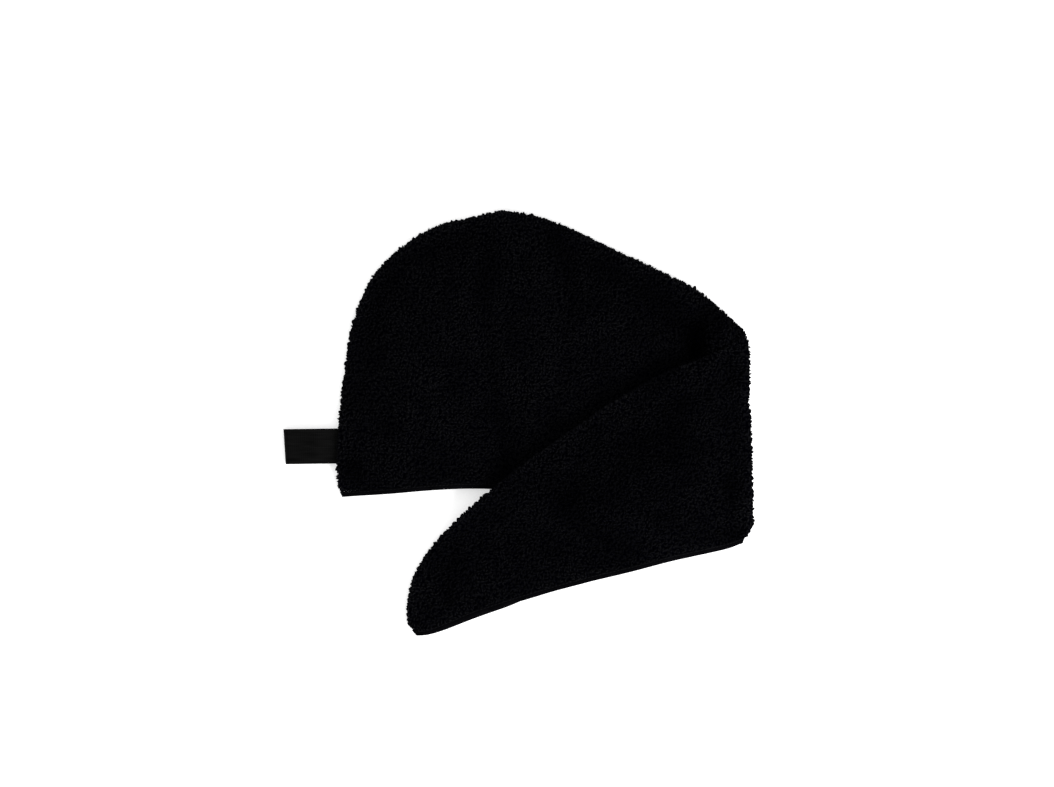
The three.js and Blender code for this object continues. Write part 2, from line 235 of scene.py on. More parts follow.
def rumple(points):
    total = np.zeros(len(points))
    for length, heading, phase in WAVES:
        way = np.array([math.cos(math.radians(heading)), math.sin(math.radians(heading))])
        total += np.sin(points @ way * (2 * math.pi / length) + phase)
    return WAVE_HEIGHT * total


# Soft buckles of the tail beside its creases, in the same shares, with their width and height in mm
BUCKLES = [
    (0.555, 0.47, 0.65, 0.385, 13, 2.4),
    (0.565, 0.27, 0.63, 0.2, 15, 1.3),
    (0.63, 0.23, 0.665, 0.12, 14, 1.6),
    (0.6, 0.06, 0.68, 0.05, 16, 1.2),
    (0.74, -0.02, 0.83, -0.12, 15, 1.2),
    (0.78, 0.1, 0.86, -0.05, 12, 0.9),
]


def past_fold(points):
    return (points - (FOLD_ALONG, 0)) @ fold_normal


def off_line(ends, points):
    """Distance of points to a line on the cloth, whose ends are given in shares."""
    return distance_to(np.reshape(ends, (2, 2)) * (TOWEL_LENGTH, CROWN_HEIGHT), points)


def buckle_at(points):
    total = np.zeros(len(points))
    for *ends, width, height in BUCKLES:
        total += height * np.exp(-(off_line(ends, points) / width) ** 2)
    return total * smooth((past_fold(points) - fold_arc) / SETTLE)


def gap_at(points):
    """Air between the two panels at points of the flat pattern."""
    q = past_fold(points)
    on_hood = q < fold_arc / 2
    from_fold = np.maximum(0, np.where(on_hood, -q, q - fold_arc))
    loft = np.where(on_hood, HOOD_LOFT, TAIL_LOFT)
    settled = smooth(from_fold / SETTLE)
    lofted = FOLD_GAP + (loft - FOLD_GAP) * smooth(from_fold / FOLD_RISE)
    mouth = mix(MOUTH_SHARE, 1, smooth(distance_to(hem_line, points) / HEM_RISE))
    inside_seam = smooth((distance_to(sewn_line, points) - SEAM_ALLOWANCE) / SEAM_RISE)
    gap = mix(SEWN_GAP, lofted * mouth, inside_seam)
    for *ends, width, depth in CREASES:
        off = off_line(ends, points) / (width * CROWN_HEIGHT)
        gap = gap - depth * loft * np.exp(-off * off) * inside_seam * settled
    gap = gap + rumple(points) * inside_seam * settled * loft / HOOD_LOFT
    beside_band = abs(points[:, 1] - BAND_UP) - BAND_WIDTH / 2 - BAND_MARGIN
    past_seat = points[:, 0] - seam_at_band[0] - BAND_SEAT - BAND_MARGIN
    held = (1 - smooth(beside_band / BAND_FADE)) * (1 - smooth(past_seat / SEAM_RISE))
    held = np.where(points[:, 0] < nape_side, held, 0)
    return np.maximum(np.maximum(gap, SEWN_GAP), mix(SEWN_GAP, band_stack, held))


def support_at(points):
    """Height of what the folded tail lies on, at places on the table."""
    hem_up = np.interp(points[:, 0], hem_line[:, 0], hem_line[:, 1])
    outside = np.maximum(0, hem_up - points[:, 1])
    below = np.stack([points[:, 0], np.maximum(points[:, 1], hem_up)], 1)
    top = 2 * PANEL_THICKNESS + gap_at(below) + REST_GAP
    return top * (1 - smooth((outside - DROP_START) / DROP_WIDTH))


def from_turn(points):
    """Distance, on the flat pattern, to the strip of cloth that turns round the fold."""
    return np.maximum(abs(past_fold(points) - fold_arc / 2) - fold_arc / 2, 0)


def folded(points, height, gap):
    """Carries points of the flat pattern, at a height over the table, to their folded place."""
    q = past_fold(points)
    placed = np.column_stack([points, height])
    base = points - np.outer(q, fold_normal)
    radius = fold_height - height
    turning = (q > 0) & (q < fold_arc)
    if turning.any():
        spots = points[turning]
        bulge = 1
        for line, (share, length) in zip((hem_line, seam_line), FOLD_PINCH):
            bulge = bulge - share * (1 - smooth(distance_to(line, spots) / length))
        angle = q[turning] / fold_radius
        reach = radius[turning] * np.sin(angle) * bulge
        placed[turning, :2] = base[turning] + np.outer(reach, fold_normal)
        placed[turning, 2] = fold_height - radius[turning] * np.cos(angle)
    back = q >= fold_arc
    if back.any():
        way_back = q[back] - fold_arc
        plan = base[back] - np.outer(way_back, fold_normal)
        resting = support_at(plan) + 2 * PANEL_THICKNESS + gap[back] - height[back]
        resting = resting + buckle_at(points[back])
        placed[back, :2] = plan
        placed[back, 2] = mix(fold_height + radius[back], resting, smooth(way_back / SETTLE))
    from_fold = from_turn(points)
    if from_fold.min() < DRAWN_REACH:
        drawn = FOLD_CORNER * np.exp(-(distance_to(hem_line, points) / CORNER_WIDTH) ** 2)
        drawn = drawn + FOLD_NIP * np.exp(-((points[:, 1] - NIP_UP) / NIP_WIDTH) ** 2)
        drawn = drawn * (1 - smooth(from_fold / DRAWN_REACH))
        placed[:, :2] -= np.outer(drawn, fold_normal)
    return placed


# Where the folded tail lies in plan
tail_edge = outline[past_fold(outline) > fold_arc]
tail_border = folded(tail_edge, np.zeros(len(tail_edge)), gap_at(tail_edge))[:, :2]


def inside(border, points):
    """Which points lie inside a closed outline."""
    x, y = points.T
    odd = np.zeros(len(points), bool)
    for (x0, y0), (x1, y1) in zip(border, np.roll(border, -1, axis=0)):
        if y0 != y1:
            odd ^= ((y0 > y) != (y1 > y)) & (x < (x1 - x0) * (y - y0) / (y1 - y0) + x0)
    return odd


def from_tail(points):
    """Distance to the edge of the folded tail: negative under it, positive beside it."""
    distance = distance_to(np.vstack([tail_border, tail_border[:1]]), points)
    return np.where(inside(tail_border, points), -distance, distance)


# Beside the fold's upper end the hood's cloth is pushed up level with the tail, as far as a deep dimple
SWELL_HEIGHT = 6.8
SWELL_LENGTH = 31.0  # from the fold
SWELL_FALL = 7.0
SWELL_SEAM = 9.1  # from the seam, over which it rises
SWELL_UP = 60.0  # from the hem, where it starts, and over which it rises
SWELL_EDGE = 1.6  # it rises within this, just under the tail's edge
SWELL_FADE = (12.0, 28.0)  # from the tail's edge it keeps its height so far, and fades over the next
DIMPLE = (0.4655, 0.51, 0.461, 0.6)  # from and to, as in the creases
DIMPLE_WIDTH = 6.5
DIMPLE_DEPTH = 10.0


def swell_at(points):
    q = past_fold(points)
    off_tail = from_tail(points)
    beside_tail = smooth(off_tail / SWELL_EDGE + 1)
    fading = 1 - smooth((off_tail - SWELL_FADE[0]) / SWELL_FADE[1])
    near_fold = 1 - smooth((-q - SWELL_LENGTH) / SWELL_FALL)
    in_seam = smooth(distance_to(seam_line, points) / SWELL_SEAM)
    upper_end = smooth(distance_to(hem_line, points) / SWELL_UP - 1)
    dimple = DIMPLE_DEPTH * np.exp(-(off_line(DIMPLE, points) / DIMPLE_WIDTH) ** 2)
    swell = SWELL_HEIGHT * near_fold * in_seam * fading - dimple
    return np.where(q < 0, swell * beside_tail * upper_end, 0)


# The pattern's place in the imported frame: the nape end of the hem and the middle of the elastic loop
nape_hem = hem_at(np.zeros(1))[0]
nape_rule = seam_at(np.zeros(1))[0] - nape_hem
nape_hem_end = nape_hem + HEM_WIDTH * nape_rule / np.linalg.norm(nape_rule)
loop_low, loop_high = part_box("elastic_loop")
hem_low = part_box("hem_under")[0]
to_row = np.array([hem_low.x / MM - nape_hem_end[0], (loop_low.y + loop_high.y) / 2 / MM - BAND_UP, 0])


def lay(points, is_over, out):
    """Where points of one panel lie, in metres, out mm beyond the inner face of that panel."""
    gap = gap_at(points)
    from_rim = np.clip(distance_to(sewn_line, points) / PANEL_THICKNESS, 0, 1)
    out = out * np.maximum(EDGE_BLUNT, np.sqrt(1 - (1 - from_rim) ** 2))
    swell = np.maximum(swell_at(points), SEWN_GAP - gap)
    height = PANEL_THICKNESS + gap + out + swell if is_over else PANEL_THICKNESS - out
    return (folded(points, height, gap) + to_row) * MM


def on_rule(u, from_hem, inset=0.0):
    hem = hem_at(u)
    rule = seam_at(u, inset) - hem
    return hem + rule * (from_hem / np.linalg.norm(rule, axis=1))[:, None]


def steps_of(line):
    return np.linalg.norm(np.diff(line, axis=0), axis=1)


def summed(steps):
    """What a row of steps comes to, at its start and after each of them."""
    return np.concatenate([[0], np.cumsum(steps)])


def stations(spacing, fold_spacing):
    """Shares along the towel, a spacing apart in mm, and closer where it turns over the fold."""
    u = np.linspace(0, 1, 4001)  # fine enough to walk both edges by
    margin = 1.0  # of closer stations on both sides of the fold
    hem, seam = hem_at(u), seam_at(u)
    nearest = np.maximum(past_fold(hem), past_fold(seam))[1:]
    furthest = np.minimum(past_fold(hem), past_fold(seam))[1:]
    in_fold = (nearest > -margin) & (furthest < fold_arc + margin)
    count = summed(np.maximum(steps_of(hem), steps_of(seam)) / np.where(in_fold, fold_spacing, spacing))
    return np.interp(np.linspace(0, count[-1], int(count[-1]) + 2), count, u)


def station_at(along, shares):
    """The shares of the towel at the columns of a grid whose columns are as many as the shares."""
    return np.interp(along, np.linspace(0, 1, len(shares)), shares)


def read_points(mesh, what="co"):
    """The places of a mesh's points, or their normals."""
    values = np.empty(len(mesh.vertices) * 3)
    mesh.vertices.foreach_get(what, values)
    return values.reshape(-1, 3)


def new_grid(name, steps_along, steps_across):
    """A flat grid of quads, and the share along and across of each of its points."""
    bpy.ops.object.select_all(action="DESELECT")
    bpy.ops.mesh.primitive_grid_add(x_subdivisions=steps_along, y_subdivisions=steps_across, size=1)
    cloth = bpy.context.object
    cloth.name = cloth.data.name = name
    along, across = read_points(cloth.data)[:, :2].T + 0.5
    return cloth, along, across


SMOOTH_ANGLE = math.radians(50)  # edges of the cloth sharper than this stay crisp


def set_cloth(cloth, placed, chart, thickness):
    """Lays the grid at its place, charts it in metres of cloth, and gives it its thickness."""
    cloth.data.vertices.foreach_set("co", placed.ravel())
    corners = np.empty(len(cloth.data.loops), int)
    cloth.data.loops.foreach_get("vertex_index", corners)
    cloth.data.uv_layers.active.data.foreach_set("uv", (chart * MM)[corners].ravel())
    solid = cloth.modifiers.new("cloth thickness", "SOLIDIFY")
    solid.thickness = thickness * MM
    solid.offset = 0
    bpy.ops.object.modifier_apply(modifier=solid.name)
    bpy.ops.object.mode_set(mode="EDIT")
    bpy.ops.mesh.select_all(action="SELECT")
    bpy.ops.mesh.normals_make_consistent(inside=False)
    bpy.ops.object.mode_set(mode="OBJECT")
    bpy.ops.object.shade_smooth_by_angle(angle=SMOOTH_ANGLE)


def linear(hex_colour):
    """The linear colour of an sRGB hex value."""
    parts = [int(hex_colour[i:i + 2], 16) / 255 for i in (1, 3, 5)]
    return [c / 12.92 if c <= 0.04045 else ((c + 0.055) / 1.055) ** 2.4 for c in parts] + [1.0]


def add_node(tree, kind, sockets=None, **settings):
    """Adds a node. A socket takes a value, or the output of another node, which is linked to it."""
    node = tree.nodes.new("ShaderNode" + kind)
    for name, value in settings.items():
        setattr(node, name, value)
    for name, value in (sockets or {}).items():
        if isinstance(value, bpy.types.NodeSocket):
            tree.links.new(value, node.inputs[name])
        else:
            node.inputs[name].default_value = value
    return node


def new_material(name, **values):
    """A material with plain numbers set on its shader."""
    material = bpy.data.materials.new(name)
    material.use_nodes = True
    shader = material.node_tree.nodes["Principled BSDF"]
    for socket, value in values.items():
        shader.inputs[socket.replace("_", " ")].default_value = value
    return material, material.node_tree, shader


# Painted shade: lines on the table in mm along which the pile's colour is painted darker, where shade falls
# along old folds, in hollows, in the dimple and beside the tail's edge; half their width, and how much of
# their colour the loops and ground there lose
PAINTED_SHADE_LINES = [
    ([(-24, 170), (-28, 113), (-23, 62), (-16, 2), (-11, -42)], 8, 0.3),  # down the hood
    ([(30, 162), (42, 137), (49, 108), (41, 79)], 9, 0.34),
    ([(-106, 126), (-118, 105), (-125, 75)], 10, 0.35),
    ([(60, 135), (74, 128), (104, 115), (123, 99), (142, 80)], 11, 0.34),
    ([(-75, 148), (-42, 158)], 10, 0.35),
    ([(-141, -36), (-138, -44)], 9, 0.52),
    ([(-75, -32), (-20, -36)], 10, 0.07),
    ([(150, 61), (151, 78)], 8.5, 0.93),  # painted shade in the dimple by the fold
    ([(156, 64), (162, 76)], 11, 0.45),
    ([(132, 50), (150, 60)], 7, 0.22),
    ([(132, 58), (82, 33), (30, -3), (-12, -32)], 8, 0.18),  # painted shadow on the hood, along the tail's edge
    ([(190, 42), (159, 26), (128, 13)], 8, 0.38),  # across the tail
    ([(128, 13), (106, -16), (70, -39), (41, -66)], 9, 0.16),
    ([(41, -66), (65, -92), (91, -107)], 14, 0.33),
    ([(-25, -76), (22, -102)], 12, 0.2),
    ([(112, -28), (155, -23)], 10, 0.26),
    ([(182, -50), (181, -58)], 9, 0.44),
    ([(140, -100), (188, -95)], 7, 0.3),
    ([(-53, -107), (-60, -130), (-59, -152)], 7, 0.42),
    ([(30, -75), (150, -30)], 52, 0.25),  # painted shade that darkens the middle of the tail
]


def painted_shade_at(places):
    """Share of its colour that the cloth keeps under the painted shade, from its place on the table in mm.
    """
    light = np.ones(len(places))
    for line, width, loss in PAINTED_SHADE_LINES:
        off = distance_to(np.array(line, float), places) / width
        light *= 1 - loss * np.exp(-off * off)
    return light


def mark_points(mesh, mark, values):
    mesh.attributes.new(mark, "FLOAT", "POINT")
    mesh.attributes[mark].data.foreach_set("value", values)


WAVE_PERIOD = 0.314  # metres from band to band of a wave texture at a scale of 1
SHADE_MOTTLE_SIZE = 0.0028  # metres, about the pitch of the loops, of the ground's painted mottle of shade
THREAD_PITCH = 0.003  # metres; threads are about 0.4 mm apart, and drawn coarser so that they show

# Black cotton ground weave: matt, with painted shade mottled over it at about the loops' pitch, as if loops
# shaded it or let the light down to it, and painted darker along the lines of painted shade
ground_weave, tree, shader = new_material(
    "Black cotton ground weave", Roughness=0.95, Specular_IOR_Level=0.005
)
chart = add_node(tree, "TexCoord")
patches = add_node(
    tree, "TexNoise", {"Vector": chart.outputs["UV"], "Scale": 1 / SHADE_MOTTLE_SIZE, "Detail": 1.0}
)
# painted shade: the noise turns part of the ground near black, as in the loops' shade
tones = add_node(tree, "ValToRGB", {"Fac": patches.outputs["Fac"]})
tones.color_ramp.elements[0].position = 0.45
tones.color_ramp.elements[0].color = linear("#000002")
tones.color_ramp.elements[1].position = 0.62
tones.color_ramp.elements[1].color = linear("#09090b")
# the painted shade of the creases and hollows scales the ground's colour
painted_light_mark = add_node(tree, "Attribute", attribute_name="light")
lit = add_node(
    tree, "VectorMath", {"Vector": tones.outputs["Color"], "Scale": painted_light_mark.outputs["Fac"]},
    operation="SCALE",
)
tree.links.new(lit.outputs["Vector"], shader.inputs["Base Color"])
warp, weft = (
    add_node(
        tree, "TexWave", {"Vector": chart.outputs["UV"], "Scale": WAVE_PERIOD / THREAD_PITCH},
        bands_direction=way, wave_profile="SIN",
    )
    for way in ("X", "Y")
)
weave = add_node(tree, "Math", {0: warp.outputs["Fac"], 1: weft.outputs["Fac"]}, operation="MAXIMUM")
weave_relief = add_node(
    tree, "Bump", {"Height": weave.outputs["Value"], "Strength": 0.7, "Distance": 0.0004}
)
tree.links.new(weave_relief.outputs["Normal"], shader.inputs["Normal"])

END_TRIM = 0.004  # share of the towel left off at the nape corner and at the tip, under the pile
GRID_SPACING = 3.4
FOLD_SPACING = 1.0
ACROSS_STEPS = 50

panel_stations = stations(GRID_SPACING, FOLD_SPACING)
for name, is_over in (("ground_back", False), ("ground_front", True)):
    panel, along, across = new_grid(name, len(panel_stations) - 1, ACROSS_STEPS)
    u = mix(END_TRIM, 1 - END_TRIM, station_at(along, panel_stations))
    start = HEM_WIDTH + hem_start(u, is_over)
    rule_length = np.linalg.norm(seam_at(u, SEAM_INSET) - hem_at(u), axis=1)
    eased = (1 - np.cos(math.pi * across)) / 2
    points = on_rule(u, mix(start, rule_length, eased), SEAM_INSET)
    set_cloth(panel, lay(points, is_over, GROUND_MIDDLE), points, GROUND_THICKNESS)
    panel.data.materials.append(ground_weave)
    # the painted shade of the creases and hollows, kept on the ground's points
    mark_points(panel.data, "light", painted_shade_at(read_points(panel.data)[:, :2] / MM))
    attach(panel, "root")
    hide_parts("panel_over" if is_over else "panel_under")


# Terry loops
# The pile of the towel: loops of twisted black cotton yarn, about 2 mm long, drawn up from the
# ground by a slack warp. They stand in rows, lean every way after washing, and fringe the sewn edge.
# Real loops are some 1.5 mm apart; they are drawn 3 mm apart, of thicker yarn, so that fewer will do.
YARN_RADIUS = 0.68
LOOP_RADIUS = 1.05  # of the arch, at the middle of the yarn
LOOP_LENGTHEN = 1.25  # height of the arch over its half width
LOOP_SINK = 0.35  # depth of its feet in the ground
LOOP_PITCH = 3.0
ROW_PITCH = 2.9
LOOP_STRAY = 0.6  # how far loops lie off their rows
LOOP_LEAN = 0.9  # most that one leans, as a share of its height
LOOP_HEIGHTS = (0.78, 1.2)  # least and most, as shares of the model loop
LOOP_WIDTHS = (0.8, 1.25)
YARN_WIDTHS = (0.85, 1.15)
TABLE_CLEARANCE = 0.02  # no loop reaches lower
PILE_FOOT = GROUND_MIDDLE + GROUND_THICKNESS / 2
PILE_START = 4.6  # from the edge of the hem, which the first loops overhang
HOOD_PILE_END = 2.0  # past the fold's axis
TAIL_PILE_START = -6.0
TUCK = 10.0  # the hood's pile is made this far in under the tail
MOUTH_PILE = 14.0  # and this far into the open mouth
MOUTH_LOOP_SIZE = 0.75

RIM_PITCH = 2.9  # of the loops that fringe the seam
RIM_ROWS = ((0.4, 0.1), (1.3, 0.5), (2.0, 0.95))  # out from the inner face, and lifted by an angle
RIM_STRAY = 0.25  # of their pitch, and of their angle in radians
RIM_SIZES = (0.5, 1.4)
RIM_LIGHT = 0.35  # painted highlight: how much lighter the loops' colour is made at the towel's edges and on the fold
RIM_LIGHT_WIDTH = 6.0

rng = np.random.default_rng(24)

# One loop: half a thin ring of yarn, drawn out upwards
bpy.ops.object.select_all(action="DESELECT")
bpy.ops.mesh.primitive_torus_add(
    major_segments=10, minor_segments=4, major_radius=LOOP_RADIUS * MM, minor_radius=YARN_RADIUS * MM,
    rotation=(math.pi / 2, 0, 0),
)
yarn_loop = bpy.context.object
bpy.ops.object.transform_apply(location=False, rotation=True, scale=False)
bpy.ops.object.mode_set(mode="EDIT")
bpy.ops.mesh.select_all(action="SELECT")
bpy.ops.mesh.bisect(plane_co=(0, 0, 0), plane_no=(0, 0, 1), clear_inner=True, use_fill=True)
bpy.ops.mesh.select_all(action="SELECT")
bpy.ops.transform.resize(value=(1, 1, LOOP_LENGTHEN))
bpy.ops.mesh.normals_make_consistent(inside=False)
bpy.ops.object.mode_set(mode="OBJECT")


def painted_light_at(points, foot):
    """Painted shade and highlight of the loops: share of their colour kept, from their points of the
    pattern and their feet; lighter near the towel's edges and the fold.
    """
    off = np.minimum(distance_to(outline, points), from_turn(points)) / RIM_LIGHT_WIDTH
    return painted_shade_at(foot[:, :2] / MM) * (1 + RIM_LIGHT * np.exp(-off * off))


def copies(name, model, at, side, along, up, **marks):
    """One mesh of copies of a small model, each with its own place, three directions and named marks."""
    shape = np.array([v.co for v in model.data.vertices])
    faces = [list(p.vertices) for p in model.data.polygons]
    corners = np.concatenate(faces)
    starts = np.cumsum([0] + [len(f) for f in faces[:-1]])
    ways = np.stack([side, along, up], 1)
    placed = at[:, None, :] + np.einsum("kc,ncd->nkd", shape, ways)
    placed[..., 2] = np.maximum(placed[..., 2], TABLE_CLEARANCE * MM)
    number = np.arange(len(at))[:, None]
    mesh = bpy.data.meshes.new(name)
    mesh.vertices.add(len(at) * len(shape))
    mesh.loops.add(len(at) * len(corners))
    mesh.polygons.add(len(at) * len(faces))
    mesh.vertices.foreach_set("co", placed.ravel())
    mesh.loops.foreach_set("vertex_index", (corners + number * len(shape)).ravel())
    mesh.polygons.foreach_set("loop_start", (starts + number * len(corners)).ravel())
    mesh.polygons.foreach_set("use_smooth", np.ones(len(at) * len(faces), bool))
    marks = {mark: np.repeat(value, len(shape)) for mark, value in marks.items()}
    marks["lift"] = np.tile(shape[:, 2] / shape[:, 2].max(), len(at))
    for mark, value in marks.items():
        mark_points(mesh, mark, value)
    mesh.update(calc_edges=True)
    mesh.validate()
    piece = bpy.data.objects.new(name, mesh)
    bpy.context.collection.objects.link(piece)
    return piece


def standing(points, is_over, out, facing=1):
    """Foot, and the direction away from the cloth, at points on one face of a panel."""
    reach = 0.4  # of the three short steps from the foot that give the direction
    foot = lay(points, is_over, out)
    along = lay(points + (reach, 0), is_over, out) - foot
    across = lay(points + (0, reach), is_over, out) - foot
    away = (lay(points, is_over, out + reach) - foot) * facing
    up = np.cross(along, across)
    up *= np.sign((up * away).sum(1))[:, None]
    return foot, unit(up)


def dress(foot, up, size):
    """Directions of loops that stand on feet: each turned, leant and drawn out a little its own way."""
    count = len(foot)
    skew = (0.31, 0.95, 0.02)  # a heading that no loop stands along
    first = unit(np.cross(up, np.tile(skew, (count, 1))))
    second = np.cross(up, first)
    turn = rng.uniform(0, 2 * math.pi, count)[:, None]
    side = first * np.cos(turn) + second * np.sin(turn)
    along = np.cross(up, side)
    lean = rng.normal(0, LOOP_LEAN / 2, (2, count, 1)).clip(-LOOP_LEAN, LOOP_LEAN)
    height = (size * rng.uniform(*LOOP_HEIGHTS, count))[:, None]
    tilted = (up + side * lean[0] + along * lean[1]) * height
    width = (size * rng.uniform(*LOOP_WIDTHS, count))[:, None]
    thick = rng.uniform(*YARN_WIDTHS, count)[:, None]
    return foot - up * LOOP_SINK * MM, side * width, along * thick, tilted


def rows_of_loops():
    """Feet of the loops on the flat pattern: rows along the towel, each loop a little off its place."""
    low, high = outline.min(0), outline.max(0)
    rows = np.arange(low[1], high[1], ROW_PITCH)
    places = np.arange(low[0], high[0], LOOP_PITCH)
    x, y = np.meshgrid(places, rows)
    x = x + (np.arange(len(rows)) % 2)[:, None] * LOOP_PITCH / 2
    points = np.stack([x.ravel(), y.ravel()], 1)
    return points + rng.normal(0, LOOP_STRAY, points.shape)


def rim_loops(is_over, out, lift):
    """Loops that fringe the sewn edge, thrown outwards and lifted by an angle."""
    sewn_walk = summed(steps_of(sewn_line))
    walk = np.arange(RIM_PITCH, sewn_walk[-1] - RIM_PITCH, RIM_PITCH)
    walk = walk + rng.normal(0, RIM_PITCH * RIM_STRAY, len(walk))
    edge, ahead = (
        np.stack([np.interp(walk + step, sewn_walk, sewn_line[:, k]) for k in (0, 1)], 1)
        for step in (0, 1)
    )
    base = edge + SEAM_INSET * inwards_of(unit(ahead - edge))
    foot = lay(base, is_over, out)
    outwards = unit(lay(edge, is_over, out) - foot)
    raised = unit(lay(base, is_over, out + 1) - foot)
    angle = lift + rng.normal(0, RIM_STRAY, len(walk))[:, None]
    return foot, unit(outwards * np.cos(angle) + raised * np.sin(angle)), base


pile_border = {}
for is_over in (True, False):
    pile_hem = on_rule(edge_shares, PILE_START + hem_start(edge_shares, is_over))
    pile_border[is_over] = np.vstack([pile_hem, seam_at(edge_shares, SEAM_INSET)[::-1]])
feet = {}
field = rows_of_loops()

hood = field[inside(pile_border[True], field) & (past_fold(field) < HOOD_PILE_END)]
hood = hood[from_tail(hood) > -TUCK]
tail = field[inside(pile_border[False], field) & (past_fold(field) > TAIL_PILE_START)]
middle_of_hood = np.median(hood[:, 0])
middle_of_tail = np.median(tail[:, 0])
groups = {
    "pile_hood_back": (True, hood[hood[:, 0] <= middle_of_hood]),
    "pile_hood_front": (True, hood[hood[:, 0] > middle_of_hood]),
    "pile_tail_root": (False, tail[tail[:, 0] <= middle_of_tail]),
    "pile_tail_end": (False, tail[tail[:, 0] > middle_of_tail]),
}
for name, (is_over, points) in groups.items():
    foot, up = standing(points, is_over, PILE_FOOT)
    feet[name] = (is_over, foot, up, np.ones(len(points)), painted_light_at(points, foot))

mouth = field[(distance_to(hem_line, field) < MOUTH_PILE + HEM_WIDTH) & (past_fold(field) < -SETTLE)]
for name, is_over in (("pile_mouth_front", True), ("pile_mouth_back", False)):
    points = mouth[inside(pile_border[is_over], mouth)]
    foot, up = standing(points, is_over, GROUND_MIDDLE - GROUND_THICKNESS / 2, facing=-1)
    feet[name] = (is_over, foot, up, np.full(len(points), MOUTH_LOOP_SIZE), np.ones(len(points)))

for name, is_over in (("pile_rim_front", True), ("pile_rim_back", False)):
    rows = [rim_loops(is_over, out, lift) for out, lift in RIM_ROWS]
    foot, up, base = (np.vstack([row[k] for row in rows]) for k in (0, 1, 2))
    feet[name] = (is_over, foot, up, rng.uniform(*RIM_SIZES, len(foot)), painted_light_at(base, foot))

BRUSHED_SIZE = 0.025  # metres across a patch of brushed or flattened pile
BRUSHED_CONTRAST = 3.4
BRUSHED_START = -1.5  # added to the patches, so that about half of them are dark
LOOP_CONTRAST = 0.45  # of each loop's own shade
TWIST_PITCH = 0.0006  # metres along the yarn

# Black carded cotton yarn, twisted and washed: matt, each loop a slightly different black, bluish where
# light reaches it, with painted shade that darkens each loop towards its roots, and painted shade and
# highlight by its place on the towel
terry_yarn, tree, shader = new_material(
    "Black cotton terry yarn", Roughness=0.95, Specular_IOR_Level=0.004,
    Sheen_Weight=0.006, Sheen_Roughness=0.5, Sheen_Tint=linear("#5454f0"),
)
place = add_node(tree, "TexCoord")
brushed = add_node(
    tree, "TexNoise", {"Vector": place.outputs["Object"], "Scale": 1 / BRUSHED_SIZE, "Detail": 2.0}
)
patches = add_node(
    tree, "Math", {0: brushed.outputs["Fac"], 1: BRUSHED_CONTRAST, 2: BRUSHED_START},
    operation="MULTIPLY_ADD",
)
own_shade = add_node(tree, "Attribute", attribute_name="shade")
lightness = add_node(
    tree, "Math", {0: own_shade.outputs["Fac"], 1: LOOP_CONTRAST, 2: patches.outputs["Value"]},
    operation="MULTIPLY_ADD",
)
tones = add_node(tree, "ValToRGB", {"Fac": lightness.outputs["Value"]})
tones.color_ramp.elements[0].position = 0.1
tones.color_ramp.elements[0].color = linear("#080809")
tones.color_ramp.elements[1].position = 0.75
tones.color_ramp.elements[1].color = linear("#0e0e0f")
# Painted shade: each loop's colour darkens towards its roots, as shade falls between the loops
root_to_top = add_node(tree, "Attribute", attribute_name="lift")
painted_root_shade = add_node(
    tree, "MapRange",
    {"Value": root_to_top.outputs["Fac"],
     "From Min": 0.05, "From Max": 0.55, "To Min": 0.05, "To Max": 0.82},
)
painted_light_mark = add_node(tree, "Attribute", attribute_name="light")
painted_light_factor = add_node(
    tree, "Math", {0: painted_root_shade.outputs["Result"], 1: painted_light_mark.outputs["Fac"]}, operation="MULTIPLY"
)
depth = add_node(
    tree, "VectorMath", {"Vector": tones.outputs["Color"], "Scale": painted_light_factor.outputs["Value"]},
    operation="SCALE",
)
tree.links.new(depth.outputs["Vector"], shader.inputs["Base Color"])
fibres = add_node(
    tree, "TexNoise", {"Vector": place.outputs["Object"], "Scale": 1 / TWIST_PITCH, "Detail": 2.0}
)
twist_relief = add_node(
    tree, "Bump", {"Height": fibres.outputs["Fac"], "Strength": 0.6, "Distance": 0.0003}
)
tree.links.new(twist_relief.outputs["Normal"], shader.inputs["Normal"])

pile_of = {True: [], False: []}
for name, (is_over, foot, up, size, light) in feet.items():
    at, side, along, tilted = dress(foot, up, size)
    pile = copies(name, yarn_loop, at, side, along, tilted, shade=rng.uniform(0, 1, len(at)), light=light)
    pile.data.materials.append(terry_yarn)
    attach(pile, "root")
    pile_of[is_over].append(pile)
bpy.data.objects.remove(yarn_loop)


# Turned hems
# The open edge of each panel is turned under once, about 5 mm, and stitched down. Its pile is shorn
# off by the stitching, so it is a smooth narrow band with fine ridges along it and slight puckers.
HEM_CLOTH = 0.95  # thickness of the turned cloth
HEM_TURN = [(5.0, 2.0), (3.9, 1.85), (2.6, 2.0), (1.3, 2.0), (0.75, 1.82), (0.5, 1.32), (0.75, 0.84),
            (1.3, 0.68), (2.6, 0.66), (4.4, 0.66)]  # from the edge, and out from the inner face
HEM_SPACING = 1.25
HEM_FOLD_SPACING = 0.8
HEM_FACE = 1.3  # out from the inner face, beyond which the turned cloth is the hem's outer layer
RIDGE_PITCH = 0.0018  # metres, like the next three
WEAR_SIZE = 0.012  # across a patch that is rubbed lighter
HEM_GRAIN = 0.0011
THREAD_LAY = 0.002  # length of a lighter or darker part of the sewing thread
STITCH_PITCH = 3.2
STITCH_LENGTH = 2.5
STITCH_WIDTH = 0.62
STITCH_HEIGHT = 0.5
STITCH_IN = 3.9  # from the hem's edge
STITCH_OUT = 2.32  # from the panel's inner face
STITCH_SLANT = 0.12
PUCKER = 0.2  # depth of the dips at the stitches
PUCKER_WIDTH = 1.1

